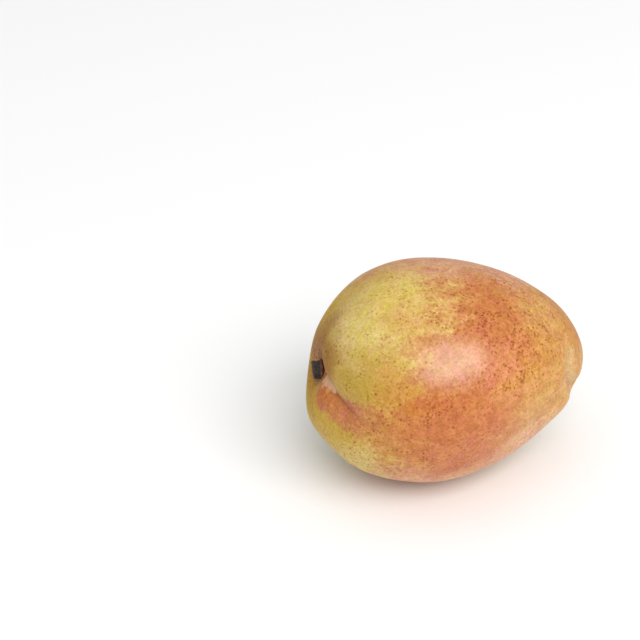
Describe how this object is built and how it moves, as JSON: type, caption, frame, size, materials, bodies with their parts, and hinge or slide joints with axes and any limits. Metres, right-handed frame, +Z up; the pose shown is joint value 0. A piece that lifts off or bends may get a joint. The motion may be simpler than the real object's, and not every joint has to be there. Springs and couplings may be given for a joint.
{
  "type": "mango",
  "caption": "Large ripe mango with an orange-red blush, a folded stem cavity with a stub of woody stem, and a blunt beak, lying on one cheek.",
  "frame": {"origin": "middle of the small flat spot that the fruit rests on", "axes": "+X along the fruit from the stem end to the beak, -Y to the belly side with the fold, +Z up from the resting cheek to the upper cheek"},
  "size_m": [0.1181, 0.1016, 0.0891],
  "materials": {
    "skin": "waxy satin fruit skin, yellow-green to orange-red with fine dark dots",
    "stem": "rough dry bark on a corky collar"
  },
  "bodies": {
    "root": {"fruit": "skin", "stem_stub": "stem"}
  },
  "joints": []
}
